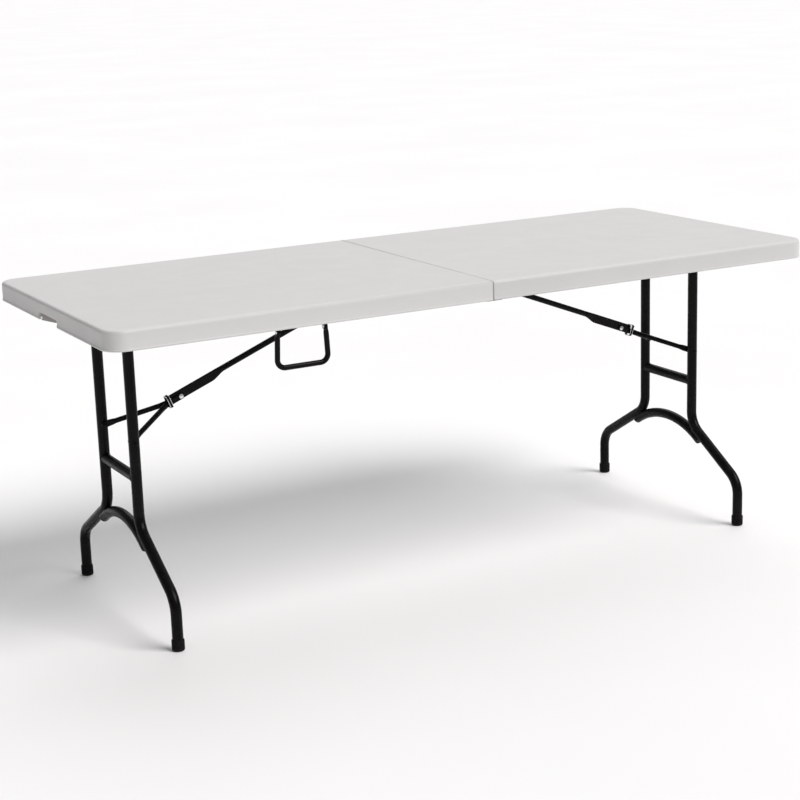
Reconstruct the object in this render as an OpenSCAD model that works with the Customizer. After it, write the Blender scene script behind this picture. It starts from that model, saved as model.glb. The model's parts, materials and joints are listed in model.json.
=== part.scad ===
// Folding picnic table: a blow-moulded top in two halves that fold together at
// mid length, a wishbone leg frame under each half, and a jointed brace with a
// sliding lock ring on each leg.
// X runs along the table, -Y is the front (handle side), Z is up, and the
// origin is on the floor under the centre of the top.

/* [Top] */
// Overall length of the open table
table_l = 1830; // [1760:1:1900]
// Depth of the top, front to back
table_w = 750; // [730:1:800]
// Height of the top surface
table_h = 740; // [725:1:760]
// Height of the apron round the rim
apron_h = 44; // [44:1:46]
// Corner radius seen from above
corner_r = 45; // [30:1:60]
// Radius of the top edge
edge_r = 7; // [4:0.5:8]
// Thickness of the double-walled slab
slab_t = 10; // [10:0.5:11]
// Thickness of the apron wall
apron_t = 9; // [8:0.5:10]
// Gap between the two halves at the seam
seam_gap = 1.2; // [0.8:0.1:2]

/* [Legs] */
// Distance of each leg frame from mid length
leg_x = 775; // [760:1:780]
// Half the spacing of the uprights
upright_y = 102; // [95:1:110]
// Half the spacing of the feet
foot_y = 294; // [280:1:300]
// Diameter of the leg tubes
leg_d = 25; // [24:0.5:26]
// Wall of the steel tubes
tube_wall = 1.2; // [1:0.1:1.5]
// Height of the crossbar above the floor
crossbar_z = 345; // [335:1:355]
// Height of the brace pivots above the floor
yoke_z = 426.5; // [420:0.5:430]

/* [Brace] */
// Distance of the upper brace pivot from mid length
brace_x = 35; // [32:1:40]
// Length of the yoke, from the knee rivet to the leg pivots
yoke_l = 169; // [168.5:0.1:169.5]
// Diameter of the brace bar
bar_d = 14; // [13:0.5:14]
// Diameter of the yoke rods
rod_d = 12; // [11:0.5:12]

/* [Handle] */
// Distance of the handle from mid length
handle_x = 473; // [440:1:500]
// Diameter of the handle rod
handle_d = 12; // [10:0.5:12]
// Drop of the hanging handle below its pivots
handle_drop = 79; // [65:1:90]

/* [Hidden] */
$fn = 64;
half_l = table_l / 2;
half_w = table_w / 2;
leg_r = leg_d / 2;
rim_z = table_h - apron_h;
slab_z = table_h - slab_t;

// running gap, close fit, clearance of loose plugs, and gap under seated parts
run = 0.06;
snug = 0.02;
plug_gap = 0.15;
seat_gap = 0.1;

// rim of the top: proud lip at the bottom edge, and sealed space in the slab
lip_t = 1.2;
lip_h = 4;
skin = 2.5;
void_edge = 13;
void_inner_y = 18;
boss_y = [36, 68];
boss_depth = 12;

// leg fold axis, and the centre hinge axis just below the rim
fold_z = rim_z + 9.5;
hinge_z = rim_z - 4;
hinge_eye_r = 3.7;
hinge_pin_r = 2;

// rails inside the long sides
rail_y = half_w - 30;
rail_t = 2;
rail_lip = 15;
rail_x0 = 12;
rail_x1 = half_l - 40;
rail_screws_x = [90, 260, 430, 600, 700, 850];
rail_screw_y = rail_y + 10;
screw_r = 2;
screw_l = 5;
screw_gap = 0.15;
pilot_l = 5;
pan_head_r = 4;
pan_head_h = 2;

// hinge leaves on the rails
leaf_t = 2.9;
leaf_x0 = 14;
leaf_x1 = 70;
leaf_layer = [6.2, 3.1];
leaf_rivets_x = [32, 58];
leaf_rivet_z = slab_z - 18;
leaf_top = slab_z - 10;
leaf_arm_l = 40;
leaf_neck_l = 26;
leaf_head_r = 4.5;
leaf_head_h = 2;
hinge_head_r = 3.5;
hinge_head_h = 1.6;
hinge_pin_l = 6.4;

// axle tube and its stub pins
axle_r = 11;
axle_end_y = rail_y - 3;
axle_pin_r = 6;
axle_head_r = 8.5;
axle_plug_l = 14;
axle_stub_l = 7.6;
axle_head_l = 2;

// centre trough that takes the folded brace
trough_w = 28;
trough_z = table_h - 3;
trough_x1 = 700;

// bracket for the upper end of the brace
brace_pin_r = 3;
cheek_t = 2;
cheek_in = bar_d / 2 + 1.2;
bracket_x0 = brace_x - 15;
bracket_l = 28;
bracket_drop = 8;
bracket_h = 17.5;
bracket_tab = 22;
bracket_screw_y = trough_w / 2 + 9;
pin_head_r = 4.5;
pin_head_h = 1.6;

// brace: upper pivot, knee rivet and lower pivots lie on one line when open
bar_r = bar_d / 2;
bar_wall = 1.5;
bar_tail = 8;
rod_r = rod_d / 2;
brace_z = trough_z - 10.5;
brace_run = leg_x - brace_x;
brace_drop = brace_z - yoke_z;
brace_l = sqrt(brace_run * brace_run + brace_drop * brace_drop);
bar_l = brace_l - yoke_l;
line_a = atan2(brace_drop, brace_run);
knee_off = 7.5;
tube_a = line_a - asin(knee_off / bar_l);

// lock ring, centred this far past the knee rivet
ring_rest = 31;

// flattened lower end of the bar
flat_t = 4;
flat_top = 7.3;
flat_low = 15.5;
flat_start = bar_l - 120;
flat_full = bar_l - 90;
flat_end = bar_l + 31;
ring_top = 7.9;
ring_low = 18.9;
ring_in_w = 19;
ring_wall = 1.8;
ring_len = 8;

// yoke rods
plate_in = 2.3;
plate_t = 4;
plate_h = 14;
eye_in = upright_y - leg_r - 6.5;
eye_t = 6;
rod_s0 = 46;
rod_y0 = plate_in + 6.3;
rod_s1 = yoke_l - 11;
rod_y1 = eye_in;
rivet_r = 4;
rivet_head_r = 5.5;
rivet_head_h = 2.3;
outer_head_r = 6;
outer_head_h = 2.4;
head_seat = 0.2;
eye_r = 7.5;

// lap of a straight tube into a bend, and the bend's thicker wall
lap = 1;
swell = 0.2;

// leg path
flare_low = 114;
flare_high = 230;
bend_r = 60;
foot_gap = 3;
cap_r = leg_r + 2;
cap_h = 26;
arch_r = 250;
arch_crown_z = 232;
arch_end_y = 138;

// handle
handle_r = handle_d / 2;
handle_y = half_w - 18;
handle_z = rim_z - 7.5;
handle_half = 57;
handle_flare = 4;
handle_bend = 18;
handle_pin_r = 2.5;
handle_eye_r = 6.5;
handle_eye_t = 6;
handle_plate_t = 2;
handle_side_gap = 0.4;
handle_head_r = 4;
handle_head_h = 1.5;

// latch in the end notch
notch_y0 = -58;
notch_y1 = 66;
notch_h = 17;
latch_y = 53;
latch_z = rim_z + 7;
latch_r = 7;
latch_arm = 97;
latch_tip_z = 6;
latch_tip_r = 3.5;
latch_t = 7;
latch_inset = 2;
latch_x0 = half_l - latch_inset - latch_t;
latch_screw_l = 7;
latch_head_r = 4.5;
latch_head_h = 1.8;

// Everything is drawn for the right half; the left half is its mirror image.
module left() {
    mirror([1, 0, 0]) children();
}

// The back of each half is the mirror image of its front.
module back() {
    mirror([0, 1, 0]) children();
}

// Maps a drawing in the XY plane to the table's YZ plane.
module in_yz() {
    rotate([90, 0, 90]) children();
}

// Maps a drawing in the XY plane to the table's XZ plane, thickness towards -Y.
module in_xz() {
    rotate([90, 0, 0]) children();
}

module ring_2d(ro, ri) {
    difference() {
        circle(ro);
        if (ri > 0) circle(ri);
    }
}

// Straight tube from point p, at angle a, in the XY plane; solid where ri is 0.
module tube(p, a, len, ro, ri) {
    translate([p[0], p[1], 0]) rotate([0, 0, a]) rotate([0, 90, 0])
        linear_extrude(len) ring_2d(ro, ri);
}

// Straight tube let a little into the bend at each end.
module link(p, a, len, ro, ri) {
    tube([p[0] - lap * cos(a), p[1] - lap * sin(a)], a, len + 2 * lap, ro, ri);
}

// Bend of centre-line radius br about point c, from angle a0 over sweep.
// A press-bent tube is a little thicker in the wall there.
module bend(c, br, a0, sweep, ro, ri) {
    translate([c[0], c[1], 0]) rotate([0, 0, a0])
        rotate_extrude(angle = sweep) translate([br, 0]) ring_2d(ro + swell, ri - swell);
}

// Button-headed rivet end: a shallow dome standing on the z = 0 plane.
module dome(r, h) {
    intersection() {
        translate([0, 0, h - (r * r + h * h) / (2 * h)]) sphere((r * r + h * h) / (2 * h));
        cylinder(h = h + 1, r = r + 1);
    }
}

// ---- top ----

// Cross-section of the rim: x out from the corner centres, y up from the floor.
module rim_2d(w) {
    translate([0, slab_z]) square([w - edge_r, slab_t]);
    translate([w - apron_t, rim_z]) square([apron_t, apron_h - edge_r]);
    translate([0, slab_z]) square([w, slab_t - edge_r]);
    translate([w - edge_r, table_h - edge_r]) circle(edge_r);
    translate([w - lip_t, rim_z]) square([2 * lip_t, lip_h]);
}

module corner_block() {
    translate([half_l - corner_r, half_w - corner_r, 0])
        rotate_extrude(angle = 90) rim_2d(corner_r);
}

module half_shell() {
    x0 = seam_gap / 2;
    side_l = half_l - corner_r - x0;
    end_l = table_w - 2 * corner_r;
    translate([x0, -end_l / 2, slab_z]) cube([side_l, end_l, slab_t]);
    translate([x0, half_w - corner_r, 0]) in_yz() linear_extrude(side_l) rim_2d(corner_r);
    back() translate([x0, half_w - corner_r, 0]) in_yz()
        linear_extrude(side_l) rim_2d(corner_r);
    translate([half_l - corner_r, end_l / 2, 0]) in_xz() linear_extrude(end_l) rim_2d(corner_r);
    corner_block();
    back() corner_block();
    translate([x0, -half_w + 2, rim_z]) cube([apron_t, table_w - 4, apron_h - 4]);
}

// Opening in the bottom edge of the short end where the halves latch.
module end_notch() {
    r = 9;
    z = rim_z + notch_h;
    translate([half_l - apron_t - 2, 0, 0]) in_yz() linear_extrude(apron_t + 6) {
        translate([notch_y0, rim_z - 5]) square([notch_y1 - notch_y0, notch_h + 5 - r]);
        translate([notch_y0 + r, rim_z]) square([notch_y1 - notch_y0 - 2 * r, notch_h]);
        translate([notch_y0 + r, z - r]) circle(r);
        translate([notch_y1 - r, z - r]) circle(r);
    }
}

module half_panel(latched) {
    void_x = [apron_t + 4, half_l - apron_t - 4];
    void_y1 = half_w - void_edge;
    difference() {
        union() {
            half_shell();
            translate([half_l - apron_t - boss_depth, boss_y[0], rim_z + 1])
                cube([boss_depth + 0.5, boss_y[1] - boss_y[0], apron_h - slab_t]);
        }
        // sealed space between the two skins of the slab
        for (s = [0, 1]) mirror([0, s, 0])
            translate([void_x[0], void_inner_y, slab_z + skin])
                cube([void_x[1] - void_x[0], void_y1 - void_inner_y, slab_t - 2 * skin]);
        translate([apron_t + seam_gap / 2, -trough_w / 2, slab_z - 1])
            cube([trough_x1 - apron_t, trough_w, trough_z - slab_z + 1]);
        end_notch();
        // pilot holes for the rail and bracket screws
        for (s = [0, 1]) mirror([0, s, 0]) {
            for (x = rail_screws_x)
                translate([x, rail_screw_y, slab_z - 1])
                    cylinder(h = pilot_l, r = screw_r + snug);
            translate([brace_x, bracket_screw_y, slab_z - 1])
                cylinder(h = pilot_l, r = screw_r + snug);
        }
        if (latched) translate([half_l - apron_t - 8, latch_y, latch_z])
            rotate([0, 90, 0]) cylinder(h = 9, r = screw_r + snug);
    }
}

// Steel angle rail: a web towards the middle and a lip screwed to the slab.
module rail_back() {
    difference() {
        union() {
            translate([rail_x0, rail_y, rim_z + 1])
                cube([rail_x1 - rail_x0, rail_t, apron_h - slab_t - 1 - seat_gap]);
            translate([rail_x0, rail_y, slab_z - rail_t - seat_gap])
                cube([rail_x1 - rail_x0, rail_lip, rail_t]);
        }
        for (x = rail_screws_x)
            translate([x, rail_screw_y, slab_z - 5]) cylinder(h = 8, r = screw_r + snug);
        translate([leg_x, rail_y - 1, fold_z]) rotate([-90, 0, 0])
            cylinder(h = 4, r = axle_pin_r + run);
        for (x = leaf_rivets_x) translate([x, rail_y - 1, leaf_rivet_z]) rotate([-90, 0, 0])
            cylinder(h = 4, r = hinge_pin_r + snug);
    }
}

// Pan-headed screw pointing up, with its seat on the z = 0 plane.
module screw_up() {
    rotate([180, 0, 0]) dome(pan_head_r, pan_head_h);
    cylinder(h = screw_l, r = screw_r);
}

module screws() {
    for (s = [0, 1]) mirror([0, s, 0]) {
        for (x = rail_screws_x)
            translate([x, rail_screw_y, slab_z - rail_t - screw_gap]) screw_up();
        translate([brace_x, bracket_screw_y, slab_z - rail_t - screw_gap]) screw_up();
    }
}

// Hinge leaf: an eye below the rim, an arm under the seam wall, and a plate
// riveted to the rail. The layer is the eye's distance inside the rail.
module hinge_leaf_back(layer, pin_gap) {
    eye_y = rail_y - layer;
    difference() {
        union() {
            translate([0, eye_y + leaf_t, hinge_z]) in_xz() linear_extrude(leaf_t) union() {
                circle(hinge_eye_r);
                translate([0, -hinge_eye_r]) square([leaf_arm_l, 2 * hinge_eye_r]);
                translate([leaf_x0, -hinge_eye_r]) square([leaf_neck_l, leaf_top - hinge_z]);
            }
            translate([leaf_x0, eye_y + 0.5, rim_z + 1])
                cube([leaf_x1 - leaf_x0, rail_y - eye_y - 0.5 - seat_gap, leaf_top - rim_z - 1]);
        }
        translate([0, eye_y - 1, hinge_z]) rotate([-90, 0, 0])
            cylinder(h = 12, r = hinge_pin_r + pin_gap);
        for (x = leaf_rivets_x) translate([x, rail_y - 12, leaf_rivet_z]) rotate([-90, 0, 0])
            cylinder(h = 16, r = hinge_pin_r + snug);
    }
}

module hinge_rivets(layer) {
    head_y = rail_y - layer;
    for (s = [0, 1]) mirror([0, s, 0]) for (x = leaf_rivets_x)
        translate([x, head_y, leaf_rivet_z]) {
            rotate([90, 0, 0]) dome(leaf_head_r, leaf_head_h);
            translate([0, layer + rail_t, 0]) rotate([-90, 0, 0])
                dome(leaf_head_r, leaf_head_h);
            rotate([-90, 0, 0]) cylinder(h = layer + rail_t, r = hinge_pin_r);
        }
}

module hinge_pins() {
    inner_y = rail_y - leaf_layer[0] - seat_gap;
    for (s = [0, 1]) mirror([0, s, 0]) translate([0, inner_y, hinge_z]) {
        rotate([-90, 0, 0]) cylinder(h = hinge_pin_l, r = hinge_pin_r);
        rotate([90, 0, 0]) dome(hinge_head_r, hinge_head_h);
        translate([0, hinge_pin_l, 0]) rotate([-90, 0, 0]) dome(hinge_head_r, hinge_head_h);
    }
}

// Clevis under the slab for the upper end of the brace bar. Its tabs are
// notched round the heads of the pin.
module brace_bracket() {
    cheek_out = cheek_in + cheek_t;
    difference() {
        union() {
            for (s = [0, 1]) mirror([0, s, 0]) {
                translate([bracket_x0, cheek_in, brace_z - bracket_drop])
                    cube([bracket_l, cheek_t, bracket_h]);
                translate([bracket_x0, cheek_in, slab_z - cheek_t - seat_gap])
                    cube([bracket_l, bracket_tab, cheek_t]);
            }
            translate([bracket_x0, -cheek_in - 1, brace_z - bracket_drop])
                cube([cheek_t, 2 * cheek_in + 2, bracket_h]);
        }
        translate([brace_x, -20, brace_z]) rotate([-90, 0, 0])
            cylinder(h = 40, r = brace_pin_r + snug);
        for (s = [0, 1]) mirror([0, s, 0]) {
            translate([brace_x, cheek_out, brace_z]) rotate([-90, 0, 0])
                cylinder(h = pin_head_h + 0.5, r = pin_head_r + 0.5);
            translate([brace_x, bracket_screw_y, slab_z - 5]) cylinder(h = 8, r = screw_r + snug);
        }
    }
}

module brace_pin() {
    y = cheek_in + cheek_t + seat_gap;
    translate([brace_x, -y, brace_z]) rotate([-90, 0, 0]) cylinder(h = 2 * y, r = brace_pin_r);
    translate([brace_x, y, brace_z]) rotate([-90, 0, 0]) dome(pin_head_r, pin_head_h);
    translate([brace_x, -y, brace_z]) rotate([90, 0, 0]) dome(pin_head_r, pin_head_h);
}

// ---- legs ----

// Straight top, bend out, straight flare, bend down and straight foot.
module leg_path(ro, ri) {
    rise = flare_high - flare_low;
    flare_a = -atan2(rise, foot_y - upright_y);
    turn = 90 + flare_a;
    tangent = bend_r * tan(turn / 2);
    top = [upright_y, fold_z];
    b1 = [upright_y, flare_high + tangent];
    e1 = [upright_y + tangent * cos(flare_a), flare_high + tangent * sin(flare_a)];
    b2 = [foot_y - tangent * cos(flare_a), flare_low - tangent * sin(flare_a)];
    e2 = [foot_y, flare_low - tangent];
    flare_l = sqrt(pow(b2[0] - e1[0], 2) + pow(b2[1] - e1[1], 2));
    link(top, -90, top[1] - b1[1], ro, ri);
    bend([upright_y + bend_r, b1[1]], bend_r, 180, turn, ro, ri);
    link(e1, flare_a, flare_l, ro, ri);
    bend([foot_y - bend_r, e2[1]], bend_r, 0, turn, ro, ri);
    link(e2, -90, e2[1] - foot_gap - lap, ro, ri);
}

module leg_back() {
    difference() {
        translate([leg_x, 0, 0]) in_yz() leg_path(leg_r, leg_r - tube_wall);
        translate([leg_x, 0, fold_z]) rotate([-90, 0, 0]) cylinder(h = 200, r = axle_r + snug);
        translate([leg_x, upright_y - 20, yoke_z]) rotate([-90, 0, 0])
            cylinder(h = 40, r = rivet_r + snug);
    }
}

module axle() {
    translate([leg_x, -axle_end_y, fold_z]) rotate([-90, 0, 0])
        linear_extrude(2 * axle_end_y) ring_2d(axle_r, axle_r - tube_wall);
}

// Stub pins in the ends of the axle tube turn in the rails.
module axle_pins() {
    for (s = [0, 1]) mirror([0, s, 0]) translate([leg_x, axle_end_y, fold_z])
        rotate([-90, 0, 0]) {
            translate([0, 0, -axle_plug_l])
                cylinder(h = axle_plug_l, r = axle_r - tube_wall - plug_gap);
            cylinder(h = axle_stub_l, r = axle_pin_r);
            translate([0, 0, axle_stub_l - axle_head_l])
                cylinder(h = axle_head_l, r = axle_head_r);
        }
}

module crossbar() {
    r = leg_r - 0.4;
    difference() {
        translate([leg_x, -upright_y, crossbar_z]) rotate([-90, 0, 0])
            linear_extrude(2 * upright_y) ring_2d(r, r - tube_wall);
        for (s = [-1, 1]) translate([leg_x, s * upright_y, crossbar_z - 30])
            cylinder(h = 60, r = leg_r + snug);
    }
}

// Bent tube between the uprights, coped along the inside of each flare.
module arch() {
    end_a = asin(arch_end_y / arch_r);
    translate([leg_x, 0, 0]) in_yz() difference() {
        bend([0, arch_crown_z - arch_r], arch_r, 90 - end_a, 2 * end_a, leg_r, leg_r - tube_wall);
        leg_path(leg_r + snug, 0);
        mirror([1, 0, 0]) leg_path(leg_r + snug, 0);
    }
}

// Moulded cap over the end of a leg.
module foot_back() {
    translate([leg_x, foot_y, 0]) difference() {
        union() {
            cylinder(h = cap_h, r = cap_r - 1.5);
            translate([0, 0, 1.5]) cylinder(h = cap_h - 3, r = cap_r);
        }
        translate([0, 0, foot_gap - snug]) cylinder(h = cap_h, r = leg_r + snug);
    }
}

// Rivets through the uprights that carry the yoke's eyes.
module yoke_rivets() {
    out = upright_y + leg_r;
    inn = eye_in - head_seat;
    for (s = [0, 1]) mirror([0, s, 0]) translate([leg_x, 0, yoke_z]) {
        translate([0, inn, 0]) rotate([-90, 0, 0]) cylinder(h = out - inn + 0.3, r = rivet_r);
        translate([0, out + 0.3, 0]) rotate([-90, 0, 0])
            dome(outer_head_r, outer_head_h);
        translate([0, inn, 0]) rotate([90, 0, 0]) dome(rivet_head_r, rivet_head_h);
    }
}

// ---- brace ----

// Along the brace's pivot line: x from the upper pivot, y up, z to the front.
module on_line() {
    translate([brace_x, 0, brace_z]) rotate([0, line_a, 0]) rotate([90, 0, 0]) children();
}

// The bar's own frame, turned so its tube axis passes over the knee rivet.
module on_tube() {
    translate([brace_x, 0, brace_z]) rotate([0, tube_a, 0]) rotate([90, 0, 0]) children();
}

module bar() {
    difference() {
        union() {
            on_tube() tube([-bar_tail, 0], 0, flat_start + 22, bar_r, bar_r - bar_wall);
            // pressed transition from round tube to flat
            intersection() {
                on_tube() translate([0, 0, -10]) linear_extrude(20) polygon([
                    [flat_start, -bar_r + 1.2], [flat_start, bar_r - 0.6],
                    [flat_full, flat_top], [flat_end, flat_top],
                    [flat_end, -flat_low], [flat_full, -flat_low]
                ]);
                on_tube() rotate([-90, 0, 0]) translate([0, 0, -30]) linear_extrude(60) polygon([
                    [flat_start, -bar_r + 1.8], [flat_start, bar_r - 1.8],
                    [flat_full, flat_t / 2], [flat_end, flat_t / 2],
                    [flat_end, -flat_t / 2], [flat_full, -flat_t / 2]
                ]);
            }
        }
        on_line() translate([bar_l, 0, -10]) cylinder(h = 20, r = rivet_r + snug);
        on_line() translate([0, 0, -10]) cylinder(h = 20, r = brace_pin_r + run);
    }
}

module knee_rivet() {
    z = plate_in + plate_t + head_seat;
    on_line() translate([bar_l, 0, 0]) {
        translate([0, 0, -z]) cylinder(h = 2 * z, r = rivet_r);
        translate([0, 0, z]) dome(rivet_head_r, rivet_head_h);
        translate([0, 0, -z]) rotate([180, 0, 0]) dome(rivet_head_r, rivet_head_h);
    }
}

// One rod of the yoke, on the front side: flat at the knee, round between,
// and flat with an eye at the leg.
module yoke_front() {
    ds = rod_s1 - rod_s0;
    dy = rod_y1 - rod_y0;
    eye_s = yoke_l - 22;
    on_line() translate([bar_l, 0, 0]) difference() {
        union() {
            translate([0, 0, plate_in]) cylinder(h = plate_t, r = plate_h / 2);
            translate([0, -plate_h / 2, plate_in]) cube([rod_s0 + 12, plate_h, plate_t]);
            translate([rod_s0, 0, rod_y0]) rotate([0, 90 - atan2(dy, ds), 0])
                cylinder(h = sqrt(ds * ds + dy * dy), r = rod_r);
            translate([yoke_l, 0, eye_in]) cylinder(h = eye_t, r = eye_r);
            translate([eye_s, -eye_r, eye_in]) cube([yoke_l - eye_s, 2 * eye_r, eye_t]);
        }
        translate([0, 0, -1]) cylinder(h = 20, r = rivet_r + run);
        translate([yoke_l, 0, eye_in - 10]) cylinder(h = 30, r = rivet_r + run);
    }
}

// Stamped collar that locks the knee; it slides up the bar before folding.
module lock_ring() {
    h = ring_top + ring_low;
    on_tube() translate([bar_l + ring_rest - ring_len / 2, (ring_top - ring_low) / 2, 0])
        rotate([0, 90, 0]) linear_extrude(ring_len) difference() {
            ring_plan(ring_in_w / 2 + ring_wall, h / 2 + ring_wall, 5.8);
            ring_plan(ring_in_w / 2, h / 2, 4);
        }
}

// Rounded rectangle of half sizes w and h.
module ring_plan(w, h, r) {
    square([2 * w, 2 * (h - r)], center = true);
    square([2 * (w - r), 2 * h], center = true);
    for (x = [-1, 1], y = [-1, 1]) translate([x * (w - r), y * (h - r)]) circle(r);
}

// ---- handle and latch ----

// Hanging loop of round rod with an eye at the top of each arm.
module handle() {
    bottom_half = handle_half + handle_flare;
    arm_a = atan2(handle_drop, handle_flare);
    tangent = handle_bend * tan(arm_a / 2);
    arm_l = sqrt(handle_flare * handle_flare + handle_drop * handle_drop) - tangent;
    translate([-handle_x, -handle_y, handle_z]) difference() {
        union() {
            for (s = [0, 1]) mirror([s, 0, 0]) {
                translate([handle_half, 0, 0]) rotate([0, 180 - (90 - arm_a), 0])
                    cylinder(h = arm_l + lap, r = handle_r);
                translate([bottom_half - tangent, 0, handle_bend - handle_drop])
                    rotate([90, 0, 0]) rotate([0, 0, -90])
                        rotate_extrude(angle = arm_a) translate([handle_bend, 0])
                            circle(handle_r + swell / 2);
                translate([0, 0, -handle_drop]) rotate([0, 90, 0])
                    cylinder(h = bottom_half - tangent + lap, r = handle_r);
                translate([handle_half - handle_eye_t / 2, 0, 0]) rotate([0, 90, 0])
                    cylinder(h = handle_eye_t, r = handle_eye_r);
            }
        }
        for (s = [-1, 1]) translate([s * handle_half - 12, 0, 0]) rotate([0, 90, 0])
            cylinder(h = 24, r = handle_pin_r + run);
        // the arms are pressed flat where they pass the brackets
        for (s = [0, 1]) mirror([s, 0, 0]) {
            translate([handle_half - handle_eye_t / 2 - 10, -7, -8]) cube([10, 14, 16]);
            translate([handle_half + handle_eye_t / 2, -7, -8]) cube([10, 14, 16]);
        }
    }
}

// Plates on the front rail that carry the handle, beside each arm.
module handle_brackets() {
    r = handle_eye_r;
    t = handle_plate_t;
    for (s = [0, 1]) translate([-handle_x, 0, 0]) mirror([s, 0, 0])
        translate([handle_half - handle_eye_t / 2 - handle_side_gap - t, 0, 0]) difference() {
            union() {
                translate([0, -handle_y - r, handle_z + 9])
                    cube([t, handle_y + r - rail_y - rail_t - seat_gap, 27]);
                translate([0, -handle_y - r, handle_z]) cube([t, 2 * r, 20]);
                translate([0, -handle_y, handle_z]) rotate([0, 90, 0]) cylinder(h = t, r = r);
            }
            translate([-1, -handle_y, handle_z]) rotate([0, 90, 0])
                cylinder(h = 4, r = handle_pin_r + snug);
        }
}

module handle_pins() {
    outer = handle_eye_t / 2 + handle_side_gap;
    inner = outer + handle_plate_t + seat_gap;
    for (s = [0, 1]) translate([-handle_x, -handle_y, handle_z]) mirror([s, 0, 0])
        translate([handle_half, 0, 0]) {
            translate([-inner, 0, 0]) rotate([0, 90, 0])
                cylinder(h = inner + outer + seat_gap, r = handle_pin_r);
            translate([outer, 0, 0]) rotate([0, 90, 0]) dome(handle_head_r, handle_head_h);
            translate([-inner, 0, 0]) rotate([0, -90, 0]) dome(handle_head_r, handle_head_h);
        }
}

// Swing latch lying across the notch, drawn on the right end and mirrored.
module latch() {
    translate([latch_x0, 0, latch_z]) difference() {
        in_yz() linear_extrude(latch_t) union() {
            translate([latch_y, 0]) circle(latch_r);
            translate([latch_y - latch_arm, latch_tip_z]) circle(latch_tip_r);
            polygon([
                [latch_y, -latch_r], [latch_y, latch_r],
                [latch_y - latch_arm, latch_tip_z + latch_tip_r],
                [latch_y - latch_arm, latch_tip_z - latch_tip_r]
            ]);
        }
        translate([-1, latch_y, 0]) rotate([0, 90, 0]) cylinder(h = latch_t + 2, r = screw_r + run);
    }
}

module latch_screw() {
    translate([latch_x0, latch_y, latch_z]) rotate([0, 90, 0]) {
        translate([0, 0, -latch_screw_l])
            cylinder(h = latch_screw_l + latch_t + 2 * seat_gap, r = screw_r);
        translate([0, 0, latch_t + seat_gap]) dome(latch_head_r, latch_head_h);
    }
}

// ---- colours ----

module plastic() {
    color([0.85, 0.85, 0.84]) children();
}

module black_steel() {
    color([0.04, 0.04, 0.045]) children();
}

module zinc() {
    color([0.78, 0.79, 0.8]) children();
}

module foot_plastic() {
    color([0.03, 0.03, 0.03]) children();
}

plastic() left() half_panel(true);  // left_panel
black_steel() left() back() rail_back();  // left_rail_front
black_steel() left() rail_back();  // left_rail_back
zinc() left() screws();  // left_screws
black_steel() left() back() hinge_leaf_back(leaf_layer[0], snug);  // left_hinge_leaf_front
black_steel() left() hinge_leaf_back(leaf_layer[0], snug);  // left_hinge_leaf_back
zinc() left() hinge_rivets(leaf_layer[0]);  // left_hinge_rivets
zinc() hinge_pins();
black_steel() left() brace_bracket();  // left_brace_bracket
zinc() left() brace_pin();  // left_brace_pin

plastic() half_panel(false);  // right_panel
black_steel() back() rail_back();  // right_rail_front
black_steel() rail_back();  // right_rail_back
zinc() screws();  // right_screws
black_steel() back() hinge_leaf_back(leaf_layer[1], run);  // right_hinge_leaf_front
black_steel() hinge_leaf_back(leaf_layer[1], run);  // right_hinge_leaf_back
zinc() hinge_rivets(leaf_layer[1]);  // right_hinge_rivets
black_steel() brace_bracket();  // right_brace_bracket
zinc() brace_pin();  // right_brace_pin

black_steel() left() back() leg_back();  // left_leg_front
black_steel() left() leg_back();  // left_leg_back
black_steel() left() axle();  // left_axle
zinc() left() axle_pins();  // left_axle_pins
black_steel() left() crossbar();  // left_crossbar
black_steel() left() arch();  // left_arch
foot_plastic() left() back() foot_back();  // left_foot_front
foot_plastic() left() foot_back();  // left_foot_back
black_steel() left() yoke_rivets();  // left_yoke_rivets

black_steel() back() leg_back();  // right_leg_front
black_steel() leg_back();  // right_leg_back
black_steel() axle();  // right_axle
zinc() axle_pins();  // right_axle_pins
black_steel() crossbar();  // right_crossbar
black_steel() arch();  // right_arch
foot_plastic() back() foot_back();  // right_foot_front
foot_plastic() foot_back();  // right_foot_back
black_steel() yoke_rivets();  // right_yoke_rivets

black_steel() left() bar();  // left_bar
zinc() left() knee_rivet();  // left_knee_rivet
black_steel() left() yoke_front();  // left_yoke_front
black_steel() left() back() yoke_front();  // left_yoke_back
zinc() left() lock_ring();  // left_lock_ring
black_steel() bar();  // right_bar
zinc() knee_rivet();  // right_knee_rivet
black_steel() yoke_front();  // right_yoke_front
black_steel() back() yoke_front();  // right_yoke_back
zinc() lock_ring();  // right_lock_ring

black_steel() handle();
black_steel() handle_brackets();
zinc() handle_pins();
plastic() left() latch();
zinc() left() latch_screw();
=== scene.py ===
import json
import math

import bmesh
import bpy
from mathutils import Matrix, Vector


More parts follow.
